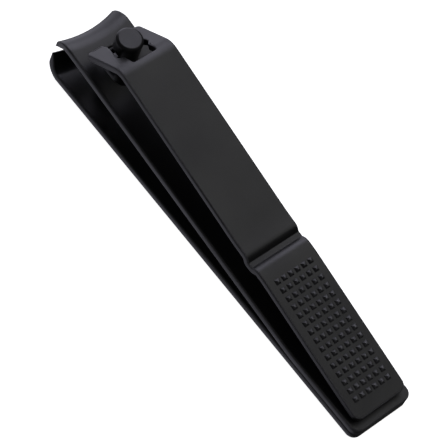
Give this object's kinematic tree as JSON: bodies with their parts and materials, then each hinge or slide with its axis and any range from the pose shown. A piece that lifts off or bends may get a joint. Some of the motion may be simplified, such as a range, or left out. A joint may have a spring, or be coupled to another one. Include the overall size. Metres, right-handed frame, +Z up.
{
  "type": "nail clipper",
  "caption": "Lever nail clipper: two sprung steel jaws with concave cutting edges, a swivelling notched pin and a folding lever with a studded thumb pad.",
  "frame": {"origin": "centre of the bounding box's bottom face: the flat underside of the lower jaw", "axes": "+X along the length, from the cutting edges to the rear end; +Y across the width; +Z up, from the lower jaw to the lever"},
  "size_m": [0.08, 0.0124, 0.0177],
  "materials": {
    "black_steel": "satin black coating on spring steel, fine grain",
    "black_lever": "satin black coating on pressed steel, fine grain",
    "black_pin": "satin black coating on turned steel"
  },
  "bodies": {
    "base": {"lower_jaw": "black_steel", "upper_jaw_heel": "black_steel", "rear_rivet": "black_pin"},
    "upper_jaw": {"upper_jaw": "black_steel"},
    "pin": {"pin": "black_pin"},
    "lever": {"lever": "black_lever"}
  },
  "joints": [
    {"name": "jaw_squeeze", "type": "hinge", "parent": "base", "child": "upper_jaw", "pos_m": [0.0235, 0, 0.00145], "axis": [0, -1, 0], "range_deg": [0, 2.1], "stiffness_Nm_per_rad": 0.8, "springref_deg": -1.15},
    {"name": "pin_swivel", "type": "hinge", "parent": "base", "child": "pin", "pos_m": [-0.03045, 0, 0], "axis": [0, 0, 1], "continuous": true},
    {"name": "lever_tilt", "type": "hinge", "parent": "pin", "child": "lever", "pos_m": [-0.03175, 0, 0.01335], "axis": [0, -1, 0], "range_deg": [0, 165]}
  ]
}
